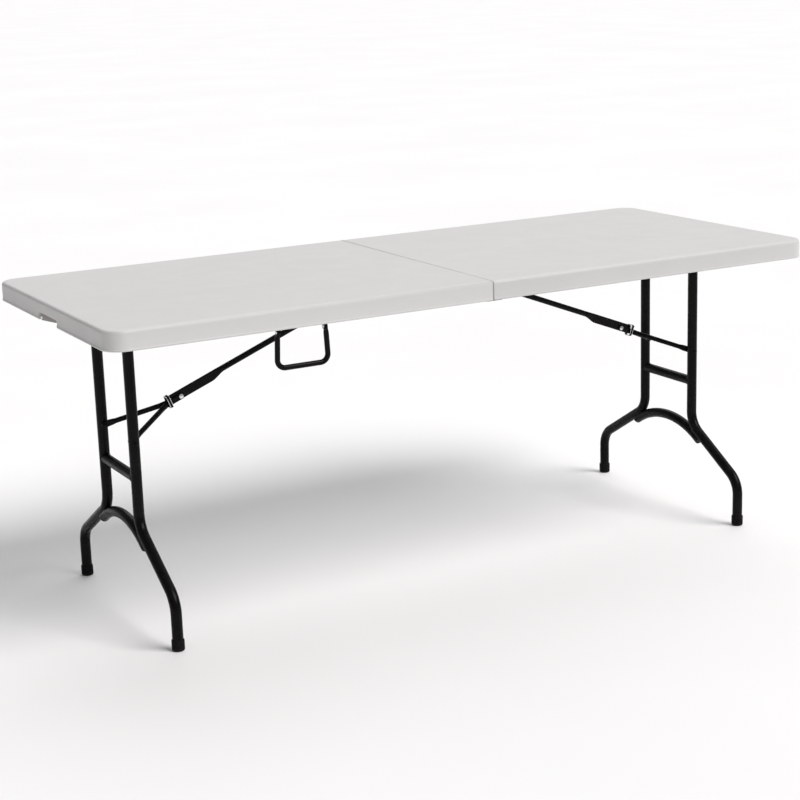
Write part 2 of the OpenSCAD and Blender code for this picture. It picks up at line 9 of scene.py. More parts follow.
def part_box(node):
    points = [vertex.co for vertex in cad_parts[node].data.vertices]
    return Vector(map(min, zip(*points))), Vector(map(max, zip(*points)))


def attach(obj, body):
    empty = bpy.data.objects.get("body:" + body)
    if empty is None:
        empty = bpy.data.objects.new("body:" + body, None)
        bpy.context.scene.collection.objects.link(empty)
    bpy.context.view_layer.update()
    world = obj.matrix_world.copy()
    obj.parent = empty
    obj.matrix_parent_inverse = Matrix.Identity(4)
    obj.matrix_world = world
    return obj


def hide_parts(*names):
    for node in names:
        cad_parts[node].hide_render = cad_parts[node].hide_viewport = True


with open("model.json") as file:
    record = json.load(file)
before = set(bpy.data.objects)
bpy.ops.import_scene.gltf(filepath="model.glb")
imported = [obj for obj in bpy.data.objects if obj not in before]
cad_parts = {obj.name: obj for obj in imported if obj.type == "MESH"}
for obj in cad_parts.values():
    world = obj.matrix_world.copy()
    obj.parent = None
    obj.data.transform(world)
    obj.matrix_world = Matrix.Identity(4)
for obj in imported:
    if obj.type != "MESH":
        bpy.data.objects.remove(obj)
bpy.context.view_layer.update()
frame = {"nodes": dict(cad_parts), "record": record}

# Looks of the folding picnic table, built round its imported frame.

SIDES = {"left": -1, "right": 1}
ENDS = {"front": -1, "back": 1}
MM = 0.001
NODES = frame["nodes"]
SCENE = bpy.context.scene


# ---- places read from the frame ----

def centre(node):
    low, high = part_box(node)
    return (low + high) / 2


TUBE_R = 12.5 * MM
axle = centre("right_axle")
LEG_X = axle.x
FOLD_Z = axle.z
FOOT_Y = centre("right_foot_back").y
CAP_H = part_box("right_foot_back")[1].z
UPRIGHT_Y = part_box("right_leg_back")[0].y + TUBE_R
CROSSBAR_Z = centre("right_crossbar").z
YOKE_Z = centre("right_yoke_rivets").z
PIN = centre("right_brace_pin")
KNEE = centre("right_knee_rivet")
TOP_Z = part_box("right_panel")[1].z
RIM_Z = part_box("right_panel")[0].z


# ---- materials ----

class Shader:
    """A Principled material with short helpers for its node tree."""

    def __init__(self, name, **settings):
        self.material = bpy.data.materials.new(name)
        self.material.use_nodes = True
        self.tree = self.material.node_tree
        self.surface = self.tree.nodes["Principled BSDF"]
        for key, value in settings.items():
            self.surface.inputs[key.replace("_", " ")].default_value = value
        self.place = self.node("ShaderNodeTexCoord").outputs["Object"]

    def node(self, kind, **settings):
        made = self.tree.nodes.new(kind)
        for key, value in settings.items():
            setattr(made, key, value)
        return made

    def link(self, source, target):
        self.tree.links.new(source, target)

    def stretched(self, scale):
        made = self.node("ShaderNodeMapping")
        made.inputs["Scale"].default_value = scale
        self.link(self.place, made.inputs["Vector"])
        return made.outputs["Vector"]

    def noise(self, scale, detail=4.0, roughness=0.55, where=None):
        made = self.node("ShaderNodeTexNoise")
        made.inputs["Scale"].default_value = scale
        made.inputs["Detail"].default_value = detail
        made.inputs["Roughness"].default_value = roughness
        self.link(where or self.place, made.inputs["Vector"])
        return made.outputs["Fac"]

    def cells(self, scale):
        made = self.node("ShaderNodeTexVoronoi", feature="SMOOTH_F1")
        made.inputs["Scale"].default_value = scale
        self.link(self.place, made.inputs["Vector"])
        return made.outputs["Distance"]

    def height(self):
        made = self.node("ShaderNodeSeparateXYZ")
        self.link(self.place, made.inputs[0])
        return made.outputs["Z"]

    def spread(self, value, low, high, to_low=0.0, to_high=1.0):
        made = self.node("ShaderNodeMapRange", interpolation_type="SMOOTHSTEP")
        for key, number in (("From Min", low), ("From Max", high),
                            ("To Min", to_low), ("To Max", to_high)):
            made.inputs[key].default_value = number
        self.link(value, made.inputs["Value"])
        return made.outputs["Result"]

    def maths(self, operation, a, b):
        made = self.node("ShaderNodeMath", operation=operation)
        for socket, value in zip(made.inputs, (a, b)):
            if isinstance(value, (int, float)):
                socket.default_value = value
            else:
                self.link(value, socket)
        return made.outputs[0]

    def blend(self, factor, a, b):
        made = self.node("ShaderNodeMix", data_type="RGBA")
        self.link(factor, made.inputs["Factor"])
        for socket, value in ((made.inputs[6], a), (made.inputs[7], b)):
            if isinstance(value, tuple):
                socket.default_value = (*value, 1.0)
            else:
                self.link(value, socket)
        return made.outputs[2]

    def colour(self, value):
        self.link(value, self.surface.inputs["Base Color"])

    def rough(self, value):
        self.link(value, self.surface.inputs["Roughness"])

    def bumps(self, *layers):
        """Each layer is (height, distance in metres), stacked one on another."""
        last = None
        for value, distance in layers:
            made = self.node("ShaderNodeBump")
            made.inputs["Strength"].default_value = 1.0
            made.inputs["Distance"].default_value = distance
            self.link(value, made.inputs["Height"])
            if last is not None:
                self.link(last, made.inputs["Normal"])
            last = made.outputs["Normal"]
        self.link(last, self.surface.inputs["Normal"])


def moulded_plastic(name, light, dark, scuff):
    """Blow-moulded polyethylene: a fine pebble, slow mottling and a few scuffs."""
    s = Shader(name, Specular_IOR_Level=0.42)
    mottle = s.spread(s.noise(7.0, 6.0, 0.6), 0.3, 0.7)
    tone = s.blend(mottle, dark, light)
    speck = s.spread(s.noise(1400.0, 2.0), 0.35, 0.65)
    tone = s.blend(s.maths("MULTIPLY", speck, 0.18), tone, tuple(c * 0.9 for c in light))
    streak = s.noise(1.0, 3.0, 0.6, s.stretched((22.0, 340.0, 60.0)))
    where = s.spread(s.noise(3.1, 2.0), 0.52, 0.66)
    scratch = s.maths("MULTIPLY", s.spread(streak, 0.66, 0.72), where)
    tone = s.blend(s.maths("MULTIPLY", scratch, 0.5), tone, scuff)
    s.colour(tone)
    matt = s.spread(s.noise(16.0, 5.0), 0.25, 0.75, 0.46, 0.6)
    s.rough(s.maths("SUBTRACT", matt, s.maths("MULTIPLY", scratch, 0.14)))
    s.bumps((s.noise(17.0, 2.0, 0.4), 0.0005), (s.cells(520.0), 0.00022),
            (s.noise(2400.0, 2.0), 0.00005), (scratch, -0.00006))
    return s.material


def powder_coat(name, worn=0.5, peel=0.00004):
    """Dull black powder coat over steel, with orange peel, dust and fine rubs."""
    s = Shader(name, Specular_IOR_Level=0.09)
    patch = s.spread(s.noise(24.0, 5.0, 0.6), 0.35, 0.7)
    tone = s.blend(patch, (0.0028, 0.0026, 0.0027), (0.0058, 0.0053, 0.0054))
    rub = s.noise(1.0, 4.0, 0.62, s.stretched((160.0, 160.0, 26.0)))
    rub = s.maths("MULTIPLY", s.spread(rub, 0.66, 0.74), s.spread(s.noise(9.0, 2.0), 0.5, 0.62))
    tone = s.blend(s.maths("MULTIPLY", rub, worn), tone, (0.055, 0.051, 0.05))
    dust = s.maths("MULTIPLY", s.spread(s.noise(700.0, 2.0), 0.58, 0.72), 0.07)
    tone = s.blend(dust, tone, (0.03, 0.028, 0.026))
    s.colour(tone)
    matt = s.spread(s.noise(40.0, 4.0), 0.3, 0.7, 0.24, 0.37)
    s.rough(s.maths("ADD", matt, s.maths("MULTIPLY", rub, 0.2)))
    s.bumps((s.noise(330.0, 2.0, 0.45), peel), (rub, -0.00003))
    return s.material


def zinc_plate(name):
    """Bright zinc plate, a little clouded, with a fine grain."""
    s = Shader(name, Metallic=1.0)
    cloud = s.spread(s.noise(260.0, 4.0, 0.6), 0.3, 0.7)
    s.colour(s.blend(cloud, (0.72, 0.725, 0.73), (0.9, 0.905, 0.91)))
    s.rough(s.spread(s.noise(420.0, 4.0), 0.3, 0.7, 0.2, 0.4))
    s.bumps((s.noise(900.0, 3.0), 0.00004))
    return s.material


def rubber(name):
    """Black moulded rubber with a fine grain, greyer where it meets the ground."""
    s = Shader(name, Specular_IOR_Level=0.12)
    cloud = s.spread(s.noise(90.0, 4.0), 0.3, 0.7)
    tone = s.blend(cloud, (0.003, 0.003, 0.0032), (0.007, 0.0068, 0.0066))
    low = s.spread(s.height(), 0.0015, 0.010, 1.0, 0.0)
    low = s.maths("MULTIPLY", low, s.spread(s.noise(300.0, 4.0), 0.35, 0.75))
    s.colour(s.blend(low, tone, (0.03, 0.028, 0.025)))
    s.rough(s.spread(s.noise(200.0, 3.0), 0.3, 0.7, 0.6, 0.8))
    s.bumps((s.noise(1100.0, 3.0), 0.00008))
    return s.material


TOP = moulded_plastic("moulded_top", (0.618, 0.613, 0.608), (0.602, 0.597, 0.592), (0.7, 0.695, 0.69))
# Painted shade: the latch's dark grey plastic stands in for the shadow inside the notch where it
# sits. It is the top's light plastic, darkened, and not a colour of its own.
LATCH_PAINTED_SHADE = moulded_plastic("latch_plastic_painted_shade", (0.25, 0.235, 0.225), (0.21, 0.2, 0.19), (0.36, 0.35, 0.34))
BLACK = powder_coat("black_frame")
WELD = powder_coat("welded_frame", 0.2, 0.00025)
ZINC = zinc_plate("bright_hardware")
RUBBER = rubber("foot_cap")
RIM = zinc_plate("lock_collar_rim")


# ---- building ----

def piece(name, mesh_data, body, material, stands_for=(), smooth=math.radians(38)):
    """Makes an object of (points, faces) that rides on a body."""
    points, faces = mesh_data
    mesh = bpy.data.meshes.new(name)
    mesh.from_pydata([tuple(p) for p in points], [], faces)
    cleaner = bmesh.new()
    cleaner.from_mesh(mesh)
    bmesh.ops.remove_doubles(cleaner, verts=cleaner.verts, dist=1e-6)
    bmesh.ops.dissolve_degenerate(cleaner, edges=cleaner.edges, dist=1e-7)
    bmesh.ops.recalc_face_normals(cleaner, faces=cleaner.faces)
    cleaner.to_mesh(mesh)
    cleaner.free()
    mesh.shade_smooth()
    mesh.set_sharp_from_angle(angle=smooth)
    made = bpy.data.objects.new(name, mesh)
    SCENE.collection.objects.link(made)
    made.data.materials.append(material)
    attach(made, body)
    if stands_for:
        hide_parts(*stands_for)
    return made


def joined(*parts):
    """Several (points, faces) as one."""
    points, faces = [], []
    for more_points, more_faces in parts:
        base = len(points)
        points += more_points
        faces += [[i + base for i in face] for face in more_faces]
    return points, faces


def flipped(data, axis):
    """The mirror image of (points, faces) across the plane normal to an axis."""
    points = []
    for p in data[0]:
        q = Vector(p)
        q[axis] = -q[axis]
        points.append(q)
    return points, [list(reversed(face)) for face in data[1]]


def skinned(rings, closed=False, caps=True):
    """Quads between rings of points of equal number."""
    count = len(rings[0])
    points = [Vector(p) for ring in rings for p in ring]
    faces = []
    spans = len(rings) if closed else len(rings) - 1
    for i in range(spans):
        a, b = i * count, ((i + 1) % len(rings)) * count
        for j in range(count):
            k = (j + 1) % count
            faces.append([a + j, a + k, b + k, b + j])
    if caps and not closed:
        faces.append(list(reversed(range(count))))
        faces.append([len(points) - count + j for j in range(count)])
    return points, faces


class Route:
    """A path in one plane: straight runs with rounded corners, measured by length."""

    NUDGE = 1e-5

    def __init__(self, corners, radius, normal, arc_steps=14):
        self.normal = Vector(normal).normalized()
        corners = [Vector(c) for c in corners]
        points = [corners[0]]
        for before, corner, after in zip(corners, corners[1:], corners[2:]):
            back, on = (before - corner).normalized(), (after - corner).normalized()
            half = back.angle(on) / 2
            reach = radius / math.tan(half)
            middle = corner + (back + on).normalized() * (radius / math.sin(half))
            first = corner + back * reach - middle
            turn = math.pi - 2 * half
            side = 1 if back.cross(first).dot(self.normal) > 0 else -1
            for i in range(arc_steps + 1):
                spin = Matrix.Rotation(side * turn * i / arc_steps, 3, self.normal)
                points.append(middle + spin @ first)
        points.append(corners[-1])
        self.points = points
        self.lengths = [0.0]
        for a, b in zip(points, points[1:]):
            self.lengths.append(self.lengths[-1] + (b - a).length)
        self.length = self.lengths[-1]

    def at(self, s):
        """Point and direction at length s."""
        last = len(self.points) - 2
        i = next((k for k in range(last + 1) if s <= self.lengths[k + 1]), last)
        span = self.lengths[i + 1] - self.lengths[i]
        along = (self.points[i + 1] - self.points[i]) / span
        return self.points[i] + along * (s - self.lengths[i]), along

    def stations(self, extra=()):
        return sorted(set(round(s, 7) for s in [*self.lengths, *extra]))

    def corner_direction(self, s):
        before = self.at(max(s - self.NUDGE, 0.0))[1]
        after = self.at(min(s + self.NUDGE, self.length))[1]
        return (before + after).normalized()


def swept(route, section, extra=(), sides=32):
    """Skin along a route. section(s) gives (half size across the plane, half size
    in the plane, squareness, offset across the plane)."""
    rings = []
    for s in route.stations(extra):
        spot = route.at(s)[0]
        along = route.corner_direction(s)
        inward = along.cross(route.normal)
        across, within, square, offset = section(s)
        ring = []
        for i in range(sides):
            angle = 2 * math.pi * (i + 0.5) / sides
            c, d = math.cos(angle), math.sin(angle)
            u = math.copysign(abs(c) ** (2 / square), c) * across + offset
            v = math.copysign(abs(d) ** (2 / square), d) * within
            ring.append(spot + route.normal * u + inward * v)
        rings.append(ring)
    return skinned(rings)


def round_section(radius):
    return lambda s: (radius, radius, 2.0, 0.0)


def eased(s, low, high):
    t = min(1.0, max(0.0, (s - low) / (high - low)))
    return t * t * (3 - 2 * t)


def mixed(a, b, t):
    return a + (b - a) * t


def spun(profile, spot, axis=(0, 0, 1), sides=40):
    """Solid of revolution of (radius, height) points about an axis through a spot."""
    turn = Vector((0, 0, 1)).rotation_difference(Vector(axis)).to_matrix()
    rings = []
    for radius, height in profile:
        rings.append([
            Vector(spot) + turn @ Vector((radius * math.cos(2 * math.pi * i / sides),
                                          radius * math.sin(2 * math.pi * i / sides), height))
            for i in range(sides)])
    return skinned(rings)


def bead(curve, radius, closed=True, ripple=2.4 * MM, sides=10):
    """A welded bead along a curve, rippled as a stack of small pools."""
    count = len(curve)
    rings, travelled = [], 0.0
    for i, spot in enumerate(curve):
        if closed:
            along = (curve[(i + 1) % count] - curve[i - 1]).normalized()
        else:
            along = (curve[min(i + 1, count - 1)] - curve[max(i - 1, 0)]).normalized()
        across = along.orthogonal().normalized()
        other = along.cross(across)
        swell = radius * (1 + 0.16 * math.cos(2 * math.pi * travelled / ripple))
        if not closed and i in (0, count - 1):
            swell *= 0.3
        rings.append([spot + across * (swell * math.cos(2 * math.pi * j / sides))
                      + other * (swell * math.sin(2 * math.pi * j / sides))
                      for j in range(sides)])
        travelled += (curve[(i + 1) % count] - spot).length
    return skinned_aligned(rings, closed)


def skinned_aligned(rings, closed):
    """Skins rings after turning each to start nearest to the one before."""
    count = len(rings[0])
    lined = [rings[0]]
    for ring in rings[1:]:
        start = lined[-1][0]
        best = min(range(count), key=lambda k: (ring[k] - start).length)
        forward = [ring[(best + j) % count] for j in range(count)]
        backward = [ring[(best - j) % count] for j in range(count)]
        second = lined[-1][1]
        keep = (forward[1] - second).length < (backward[1] - second).length
        lined.append(forward if keep else backward)
    if not closed:
        return skinned(lined)
    points, faces = skinned(lined, caps=False)
    first, last = lined[0], lined[-1]
    shift = min(range(count), key=lambda k: (last[k] - first[0]).length)
    ahead = (last[(shift + 1) % count] - first[1]).length
    behind = (last[shift - 1] - first[1]).length
    step = 1 if ahead < behind else -1
    base = len(points) - count
    for j in range(count):
        a, b = base + (shift + step * j) % count, base + (shift + step * (j + 1)) % count
        faces.append([a, b, (j + 1) % count, j])
    return points, faces


def rounded_block(low, high, radius, steps=3):
    """A block with rounded edges."""
    made = bmesh.new()
    bmesh.ops.create_cube(made, size=1.0)
    size = Vector(high) - Vector(low)
    middle = (Vector(high) + Vector(low)) / 2
    for v in made.verts:
        v.co = Vector(v.co[i] * size[i] for i in range(3)) + middle
    bmesh.ops.bevel(made, geom=list(made.edges), offset=radius, segments=steps,
                    profile=0.5, affect="EDGES")
    made.verts.index_update()
    data = [v.co.copy() for v in made.verts], [[v.index for v in f.verts] for f in made.faces]
    made.free()
    return data


# ---- the moulded top ----

SEAM = 0.6 * MM
EDGE_R = 7 * MM
SEAM_R = 1.6 * MM
CORNER_R = 45 * MM
WALL = 9 * MM
LIP = 1.2 * MM
SLAB_Z = TOP_Z - 10 * MM
NOTCH_Y = (-58 * MM, 66 * MM)
NOTCH_H = 17 * MM
NOTCH_R = 9 * MM
BOSS_DEPTH = 12 * MM
BOSS_Y = (36 * MM, 68 * MM)
HALF_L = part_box("right_panel")[1].x - LIP
HALF_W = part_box("right_panel")[1].y - LIP


def notch_columns():
    """(y, rise of the bottom edge) across the short end, from front to back."""
    low, high = NOTCH_Y
    start, columns = NOTCH_H - NOTCH_R, []
    for i in range(9):
        a = math.pi / 2 * i / 8
        columns.append((low + NOTCH_R * (1 - math.cos(a)), start + NOTCH_R * math.sin(a)))
    mirrored = [(low + high - y, rise) for y, rise in reversed(columns)]
    inside = [(mixed(columns[-1][0], mirrored[0][0], t), NOTCH_H) for t in (0.33, 0.67)]
    return [(low - 0.3 * MM, 0.0), (low, 0.0), *columns, *inside, *mirrored,
            (high, 0.0), (high + 0.3 * MM, 0.0)]


def rim_columns():
    """Columns once round the half top: (kind, across, angle or y, rise, outer share)."""
    columns = []
    for side in (-1, 1):
        steps = 16
        end = [("end", side, math.pi / 2 * i / steps, 0.0, 1.0) for i in range(steps + 1)]
        seam = [("seam", side, math.pi / 2 * i / 4, 0.0, 1 - i / 4) for i in range(5)]
        if side < 0:
            columns += list(reversed(seam)) + list(reversed(end))
            columns += [("face", 0, y, rise, 1.0) for y, rise in notch_columns()]
        else:
            columns += end + seam
    return columns


def rim_point(column, inset, height):
    """Point of the rim of the right half. A negative inset stands proud."""
    kind, side, value, rise, outer = column
    inward, proud = max(inset, 0.0), max(-inset, 0.0)
    if kind == "face":
        return Vector((HALF_L - inward + proud * (rise == 0.0), value, height))
    across, along = math.cos(value), math.sin(value)
    if kind == "end":
        r = CORNER_R - inward + proud
        middle = Vector((HALF_L - CORNER_R, side * (HALF_W - CORNER_R), height))
        return middle + Vector((r * across, side * r * along, 0))
    r = max(3 * MM - inward, 0.5 * MM)
    proud *= outer
    middle = Vector((SEAM + inward + r, side * (HALF_W - inward - r), height))
    return middle + Vector((-(r + proud * (1 - along)) * along,
                            side * (r + proud) * across, 0))


def rim_loops():
    """The rim's loops from the top face, over the edge and down, and up inside."""
    loops = []
    columns = rim_columns()

    def loop(inset, height, follows_notch=False):
        loops.append([rim_point(c, inset, height + (c[3] if follows_notch else 0.0))
                      for c in columns])

    loops.append([rim_point(c, 14 * MM, TOP_Z) for c in columns])
    steps = 10
    for i in range(steps + 1):
        a = math.pi / 2 * i / steps
        ring = []
        for c in columns:
            r = mixed(SEAM_R, EDGE_R, c[4])
            ring.append(rim_point(c, r * (1 - math.sin(a)), TOP_Z - r * (1 - math.cos(a))))
        loops.append(ring)
    loop(0.0, RIM_Z + 31 * MM)
    for inset, up in ((0.0, 5.8), (-0.2, 5.1), (-0.75, 4.3), (-1.2, 3.5), (-1.2, 1.5),
                      (-0.8, 0.5), (0.0, 0.0), (1.0, 0.0), (7.8, 0.0), (8.7, 0.3), (9.0, 1.0)):
        loop(inset * MM, RIM_Z + up * MM, follows_notch=True)
    wall_up = SLAB_Z - RIM_Z
    for inset, down in ((9.0, 4.5), (9.3, 2.2), (10.1, 0.7), (12.0, 0.0)):
        loop(inset * MM, RIM_Z + wall_up - down * MM)
    return loops


PIT_R = 16.5 * MM
PIT_PROFILE = ((1.0, 0.0), (0.955, 0.25), (0.88, 1.2), (0.72, 4.1), (0.64, 5.3), (0.52, 5.8))
BANK_X = (16 * MM, 886 * MM)
BANK_Y = (20 * MM, 334 * MM)
BANK_CELLS = (16, 6)
TROUGH_X = (14 * MM, 700 * MM)
TROUGH_HALF = 14 * MM
TROUGH_R = 6 * MM
BRACKET_END = PIN.x + 18 * MM
BRACKET_SIDE = 40 * MM


def pit_cell(x0, x1, y0, y1, deep):
    """One square of the underside, with the round pit where the two skins touch."""
    quarter = 5
    square = []
    for (ax, ay), (bx, by) in (((x0, y0), (x1, y0)), ((x1, y0), (x1, y1)),
                               ((x1, y1), (x0, y1)), ((x0, y1), (x0, y0))):
        square += [Vector((mixed(ax, bx, i / quarter), mixed(ay, by, i / quarter), SLAB_Z))
                   for i in range(quarter)]
    middle = Vector(((x0 + x1) / 2, (y0 + y1) / 2, SLAB_Z))
    if not deep:
        return square, [list(range(len(square)))]
    rings = [square]
    for share, depth in PIT_PROFILE:
        ring = []
        for i in range(4 * quarter):
            a = 2 * math.pi * (i / (4 * quarter)) - 3 * math.pi / 4
            ring.append(middle + Vector((math.cos(a) * PIT_R * share,
                                         math.sin(a) * PIT_R * share, depth * MM)))
        rings.append(ring)
    points, faces = skinned(rings, caps=False)
    faces.append([len(points) - 4 * quarter + i for i in range(4 * quarter)])
    return points, faces


def bank(side):
    """The pitted part of the underside on one side of the trough."""
    nx, ny = BANK_CELLS
    cells = []
    for i in range(nx):
        for j in range(ny):
            x0, x1 = (mixed(*BANK_X, k / nx) for k in (i, i + 1))
            y0, y1 = (mixed(*BANK_Y, k / ny) for k in (j, j + 1))
            under_bracket = x0 < BRACKET_END and y0 < BRACKET_SIDE
            low, high = sorted((side * y0, side * y1))
            cells.append(pit_cell(x0, x1, low, high, not under_bracket))
    return joined(*cells)


def trough():
    """The groove that takes the folded brace, with rounded ends and edges."""
    rings = []
    for grow, depth in ((2.2, 0.0), (1.0, 0.3), (0.3, 1.3), (0.0, 5.6), (-0.6, 6.7), (-1.8, 7.0)):
        half = TROUGH_HALF + grow * MM
        x0, x1 = TROUGH_X[0] - grow * MM, TROUGH_X[1] + grow * MM
        r = TROUGH_R + grow * MM
        ring = []
        for cx, cy, start in ((x1 - r, half - r, 0), (x0 + r, half - r, 90),
                              (x0 + r, r - half, 180), (x1 - r, r - half, 270)):
            for i in range(7):
                a = math.radians(start + 15 * i)
                ring.append(Vector((cx + r * math.cos(a), cy + r * math.sin(a),
                                    SLAB_Z + depth * MM)))
        rings.append(ring)
    points, faces = skinned(rings, caps=False)
    count = len(rings[0])
    faces.append([len(points) - count + i for i in range(count)])
    return points, faces


def half_top():
    """The right half of the top: rim, top face, and an underside with pits and trough."""
    loops = rim_loops()
    rim = skinned(loops, caps=False)
    count = len(loops[0])
    rim[1].append(list(reversed(range(count))))
    made = bmesh.new()
    data = joined(rim, bank(1), bank(-1), trough())
    verts = [made.verts.new(p) for p in data[0]]
    for face in data[1]:
        made.faces.new([verts[i] for i in face])
    bmesh.ops.remove_doubles(made, verts=made.verts, dist=2e-6)
    edge = [e for e in made.edges if e.is_boundary]
    bmesh.ops.triangle_fill(made, edges=edge, use_beauty=True, use_dissolve=False)
    made.verts.index_update()
    result = [v.co.copy() for v in made.verts], [[v.index for v in f.verts] for f in made.faces]
    made.free()
    return result


def make_tops():
    right = half_top()
    boss = rounded_block((HALF_L - WALL - BOSS_DEPTH, BOSS_Y[0], RIM_Z + 1 * MM),
                         (HALF_L - WALL + 1 * MM, BOSS_Y[1], SLAB_Z + 1 * MM), 2.2 * MM)
    whole = joined(right, boss)
    for name in SIDES:
        data = whole if name == "right" else flipped(whole, 0)
        piece(name + "_top", data, name + "_top", TOP, [name + "_panel"])


# ---- leg frames ----

FLARE_TOP = 230 * MM
FLARE_LOW = 114 * MM
LEG_BEND = 60 * MM
ARCH_R = 250 * MM
ARCH_TOP = 232 * MM
ARCH_END = 138 * MM
AXLE_R = 11 * MM
CROSSBAR_R = TUBE_R - 0.4 * MM
TUBE_WALL = 1.2 * MM


def leg_route(x, side):
    corners = [(x, side * UPRIGHT_Y, FOLD_Z), (x, side * UPRIGHT_Y, FLARE_TOP),
               (x, side * FOOT_Y, FLARE_LOW), (x, side * FOOT_Y, 4 * MM)]
    return Route(corners, LEG_BEND, (1, 0, 0))


def arch_point(x, y):
    return Vector((x, y, ARCH_TOP - ARCH_R + math.sqrt(ARCH_R ** 2 - y * y)))


def arch_tube(x):
    """The bent tube between the uprights, pinched a little at its cut ends."""
    reach = math.asin(ARCH_END / ARCH_R)
    rings, steps = [], 48
    turns = [i / steps for i in range(steps + 1)]
    turns += [0.002, 0.005, 0.995, 0.998]
    for t in sorted(turns):
        a = mixed(-reach, reach, t)
        spot = arch_point(x, ARCH_R * math.sin(a))
        outward = Vector((0, math.sin(a), math.cos(a)))
        r = TUBE_R - 1.0 * MM * (1 - eased(min(t, 1 - t), 0.0, 0.006))
        rings.append([spot + Vector((r * math.cos(2 * math.pi * i / 32), 0, 0))
                      + outward * (r * math.sin(2 * math.pi * i / 32)) for i in range(32)])
    return skinned(rings)


def crossbar_bead(x, side, z, r, inner):
    """Where the crossbar of radius r meets the upright."""
    curve = []
    for i in range(96):
        a = 2 * math.pi * i / 96
        dx = r * math.cos(a)
        y = UPRIGHT_Y - inner * math.sqrt(TUBE_R ** 2 - dx ** 2)
        curve.append(Vector((x + dx, side * y, z + r * math.sin(a))))
    return bead(curve, 1.5 * MM)


def arch_bead(x, side):
    """One bead down each side of the joint between the arch and the flare."""
    route = leg_route(x, side)
    legs = [route.at(route.length * i / 400)[0] for i in range(401)]
    joint = []
    for i in range(61):
        spot = arch_point(x, side * mixed(0.6 * ARCH_END, ARCH_END, i / 60))
        near = min(legs, key=lambda p: (p - spot).length)
        gap = (near - spot).length
        if gap < 2 * TUBE_R:
            joint.append(((near + spot) / 2, math.sqrt(TUBE_R ** 2 - gap * gap / 4)))
    curve = [p + Vector((w, 0, 0)) for p, w in reversed(joint)]
    curve += [p - Vector((w, 0, 0)) for p, w in joint]
    return bead(curve, 1.8 * MM, closed=False)


def foot_profile():
    r = TUBE_R + 2 * MM
    return [(0.2 * MM, 0.0), (r - 4.4 * MM, 0.0), (r - 2.6 * MM, 0.35 * MM), (r - 1.1 * MM, 1.3 * MM),
            (r - 0.3 * MM, 2.8 * MM), (r, 4.6 * MM), (r, 7.4 * MM), (r - 0.7 * MM, 7.9 * MM),
            (r - 0.7 * MM, 8.9 * MM), (r, 9.4 * MM), (r, 11.9 * MM), (r - 0.7 * MM, 12.4 * MM),
            (r - 0.7 * MM, 13.4 * MM), (r, 13.9 * MM), (r, CAP_H - 2.8 * MM),
            (r - 0.3 * MM, CAP_H - 1.2 * MM), (r - 1.0 * MM, CAP_H - 0.2 * MM),
            (r - 1.5 * MM, CAP_H), (TUBE_R + 0.15 * MM, CAP_H - 0.3 * MM),
            (TUBE_R - 0.2 * MM, CAP_H - 2 * MM)]


def make_leg_frames():
    axle_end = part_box("right_axle")[1].y
    for name, sx in SIDES.items():
        body = name + "_leg"
        x = sx * LEG_X
        for end, sy in ENDS.items():
            node = f"{name}_leg_{end}"
            tube = swept(leg_route(x, sy), round_section(TUBE_R))
            piece(node + "_tube", tube, body, BLACK, [node])
            foot = f"{name}_foot_{end}"
            cap = spun(foot_profile(), (x, sy * FOOT_Y, 0))
            piece(foot + "_cap", cap, body, RUBBER, [foot])
        piece(name + "_arch_tube", arch_tube(x), body, BLACK, [name + "_arch"])
        span = [(x, -UPRIGHT_Y + 6 * MM, CROSSBAR_Z), (x, UPRIGHT_Y - 6 * MM, CROSSBAR_Z)]
        bar = swept(Route(span, 0.0, (1, 0, 0)), round_section(CROSSBAR_R))
        piece(name + "_crossbar_tube", bar, body, BLACK, [name + "_crossbar"])
        rod = hollow_axle(x, AXLE_R, axle_end)
        piece(name + "_axle_tube", rod, body, BLACK, [name + "_axle"])
        beads = []
        for sy in ENDS.values():
            beads.append(crossbar_bead(x, sy, CROSSBAR_Z, CROSSBAR_R, 1))
            beads.append(crossbar_bead(x, sy, FOLD_Z, AXLE_R, 1))
            beads.append(crossbar_bead(x, sy, FOLD_Z, AXLE_R, -1))
            beads.append(arch_bead(x, sy))
        piece(name + "_frame_welds", joined(*beads), body, WELD)


def hollow_axle(x, radius, end):
    """The axle tube, open at its ends, where the stub pins sit."""
    inner = radius - TUBE_WALL
    profile = [(inner, 0.0), (radius - 0.3 * MM, 0.0), (radius, 0.3 * MM),
               (radius, 2 * end - 0.3 * MM), (radius - 0.3 * MM, 2 * end), (inner, 2 * end)]
    turn = Matrix.Rotation(-math.pi / 2, 3, "X")
    rings = []
    for r, h in profile:
        rings.append([Vector((x, -end, FOLD_Z)) + turn @ Vector(
            (r * math.cos(2 * math.pi * i / 40), r * math.sin(2 * math.pi * i / 40), h))
            for i in range(40)])
    return skinned(rings, closed=True)


# ---- braces ----

LINE_A = math.atan2(PIN.z - YOKE_Z, LEG_X - PIN.x)
BAR_L = math.hypot(KNEE.x - PIN.x, KNEE.z - PIN.z)
YOKE_L = math.hypot(LEG_X - KNEE.x, KNEE.z - YOKE_Z)
KNEE_OFF = 7.5 * MM
TUBE_A = LINE_A - math.asin(KNEE_OFF / BAR_L)
BAR_R = 7 * MM
BAR_START = -8 * MM
BAR_END = BAR_L + 31 * MM
ROD_R = 6 * MM
EYE_R = 7.5 * MM
PLATE_R = 7 * MM
PLATE_OUT = 4.3 * MM
ROD_FROM = 46 * MM
ROD_FROM_OUT = 8.6 * MM
ROD_SLOPE = 74.4 / 112
FLAT_TOP = 7.3 * MM
FLAT_LOW = 15.5 * MM
FLAT_FROM = BAR_L - 120 * MM
FLAT_AT = BAR_L - 84 * MM
RING_AT = BAR_L + 31 * MM
RING_TOP = 7.9 * MM
RING_LOW = 18.9 * MM
RIM_FROM = 2.7 * MM


